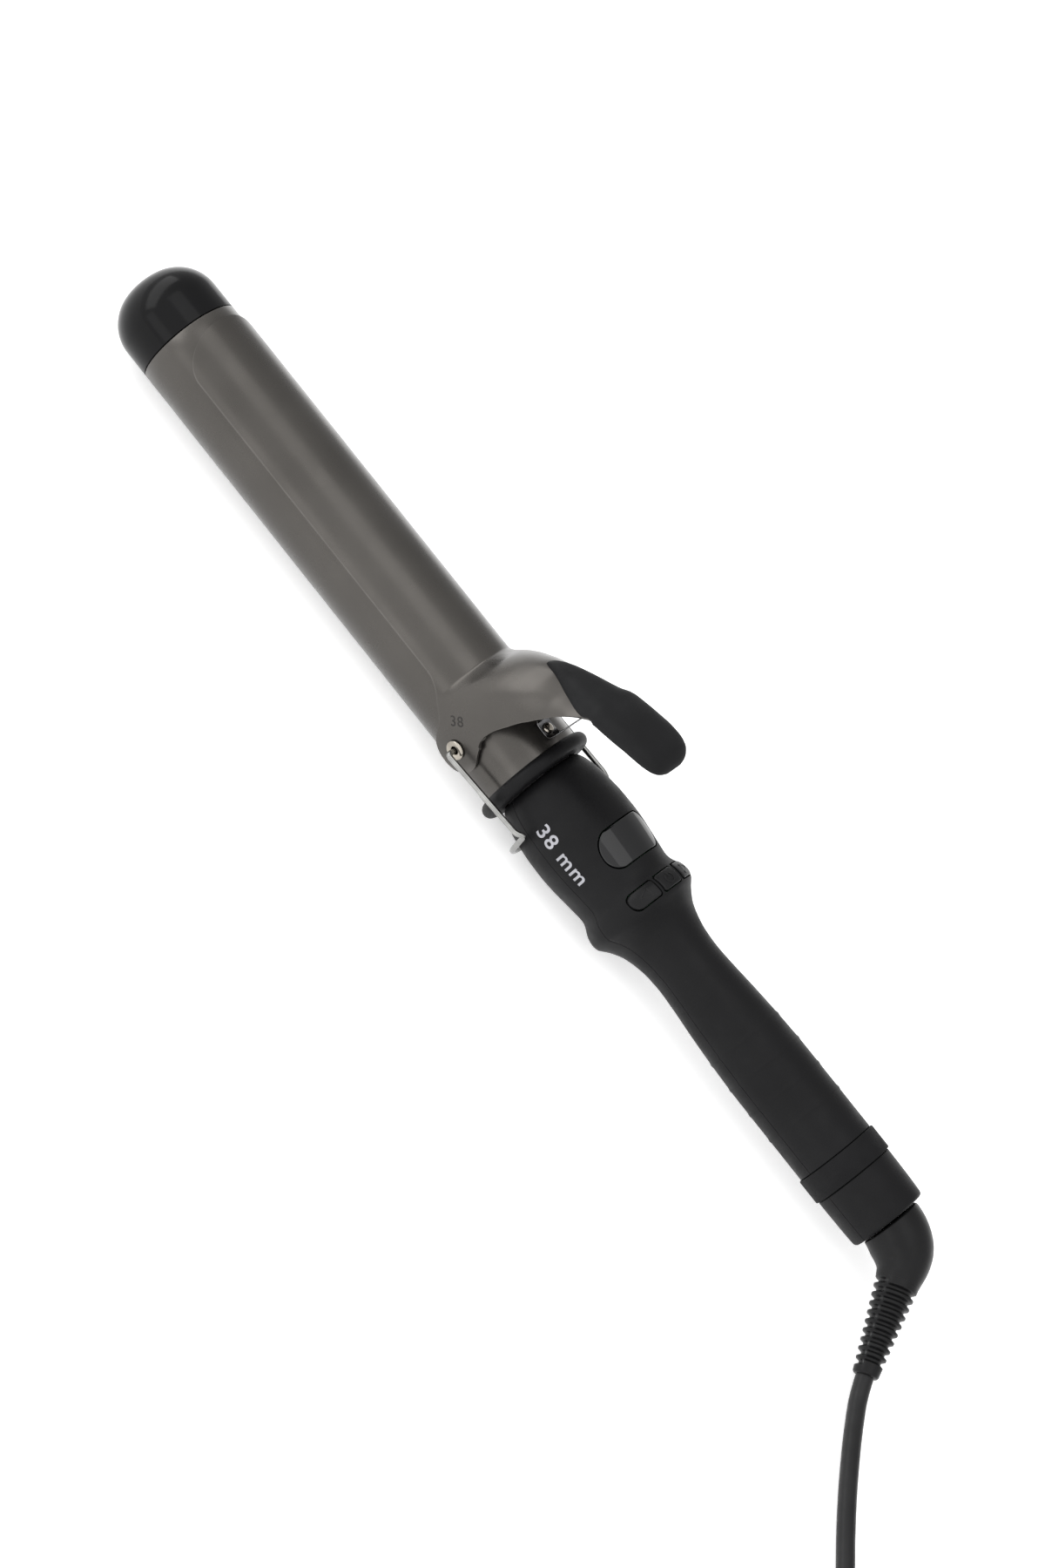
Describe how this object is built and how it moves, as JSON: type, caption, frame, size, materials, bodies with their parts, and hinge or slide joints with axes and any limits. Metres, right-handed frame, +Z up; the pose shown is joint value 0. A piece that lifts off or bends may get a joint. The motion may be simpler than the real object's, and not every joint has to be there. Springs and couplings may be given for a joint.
{
  "type": "curling iron",
  "caption": "Hair curling iron with a coated round barrel, spring clamp with thumb lever, fold-out wire stand, black handle with display and buttons, and a swivel cord.",
  "frame": {"origin": "centre of the iron's footprint, on the surface it lies on, without the free cord; the barrel axis is 22.5 mm above it", "axes": "+X along the barrel axis from the tip to the cord end, +Z up through the thumb lever, the display and the buttons"},
  "size_m": [0.6072, 0.1955, 0.0804],
  "materials": {
    "gunmetal_coating": "satin",
    "gloss_black": "gloss",
    "display_lens": "gloss",
    "matte_black": "matte",
    "soft_black": "matte",
    "cord_black": "satin",
    "strap_black": "matte",
    "plug_black": "satin",
    "bright_steel": "polished",
    "nickel": "polished",
    "bare_aluminium": "satin",
    "brass": "satin",
    "ceramic": "matte",
    "wire_insulation": "matte",
    "board_green": "satin",
    "component_grey": "matte"
  },
  "bodies": {
    "handle": {"barrel_tube": "gunmetal_coating", "tip_cap": "gloss_black", "tip_insulator": "ceramic", "heat_spreader_upper": "bare_aluminium", "heat_spreader_lower": "bare_aluminium", "ptc_heater_plate": "ceramic", "electrode_upper": "brass", "electrode_lower": "brass", "thermistor": "ceramic", "thermal_fuse": "nickel", "heater_lead_live": "wire_insulation", "heater_lead_neutral": "wire_insulation", "thermistor_lead": "wire_insulation", "base_bush": "ceramic", "collar_ring": "matte_black", "pivot_rivet_left": "nickel", "pivot_rivet_right": "nickel", "pivot_washer_left": "bright_steel", "pivot_washer_right": "bright_steel", "leaf_spring": "bright_steel", "spring_rivet": "nickel", "handle_front_shell": "matte_black", "handle_rear_shell": "matte_black", "handle_screw_1": "bright_steel", "handle_screw_2": "bright_steel", "grip_band": "matte_black", "display_window": "display_lens", "display_module": "component_grey", "circuit_board": "board_green", "power_module": "component_grey", "tact_switch_down": "component_grey", "tact_switch_power": "component_grey", "tact_switch_up": "component_grey", "handle_wire_live": "wire_insulation", "handle_wire_neutral": "wire_insulation", "swivel_bush": "component_grey", "brush_live": "brass", "brush_neutral": "brass"},
    "clamp": {"clamp_shell": "gunmetal_coating", "thumb_rest": "soft_black", "thumb_rest_screw_1": "bright_steel", "thumb_rest_screw_2": "bright_steel"},
    "stand": {"stand_wire": "bright_steel"},
    "down_button": {"button_down": "matte_black"},
    "power_button": {"button_power": "matte_black"},
    "up_button": {"button_up": "matte_black"},
    "cord_end": {"swivel_spindle": "component_grey", "slip_ring_live": "brass", "slip_ring_neutral": "brass", "swivel_elbow": "soft_black", "strain_relief": "soft_black", "cord_lead": "cord_black", "cord_tail": "cord_black", "cord_coil": "cord_black", "cord_tie": "strap_black", "plug_body": "plug_black", "plug_blade_live": "nickel", "plug_blade_neutral": "nickel"}
  },
  "joints": [
    {"name": "clamp_hinge", "type": "hinge", "parent": "handle", "child": "clamp", "pos_m": [-0.02085, 0, 0.0225], "axis": [0, 1, 0], "range_deg": [0, 25], "stiffness_Nm_per_rad": 0.6, "springref_deg": -20.05, "deforming": ["leaf_spring"]},
    {"name": "stand_fold", "type": "hinge", "parent": "handle", "child": "stand", "pos_m": [-0.02085, 0, 0.0225], "axis": [0, 1, 0], "range_deg": [0, 110]},
    {"name": "down_press", "type": "slide", "parent": "handle", "child": "down_button", "axis": [0, 0, -1], "range_m": [0, 0.0008], "stiffness_N_per_m": 300, "springref_m": -0.0008},
    {"name": "power_press", "type": "slide", "parent": "handle", "child": "power_button", "axis": [0, 0, -1], "range_m": [0, 0.0008], "stiffness_N_per_m": 300, "springref_m": -0.0008},
    {"name": "up_press", "type": "slide", "parent": "handle", "child": "up_button", "axis": [0, 0, -1], "range_m": [0, 0.0008], "stiffness_N_per_m": 300, "springref_m": -0.0008},
    {"name": "cord_swivel", "type": "hinge", "parent": "handle", "child": "cord_end", "pos_m": [0.18975, 0, 0.0225], "axis": [1, 0, 0], "continuous": true}
  ]
}
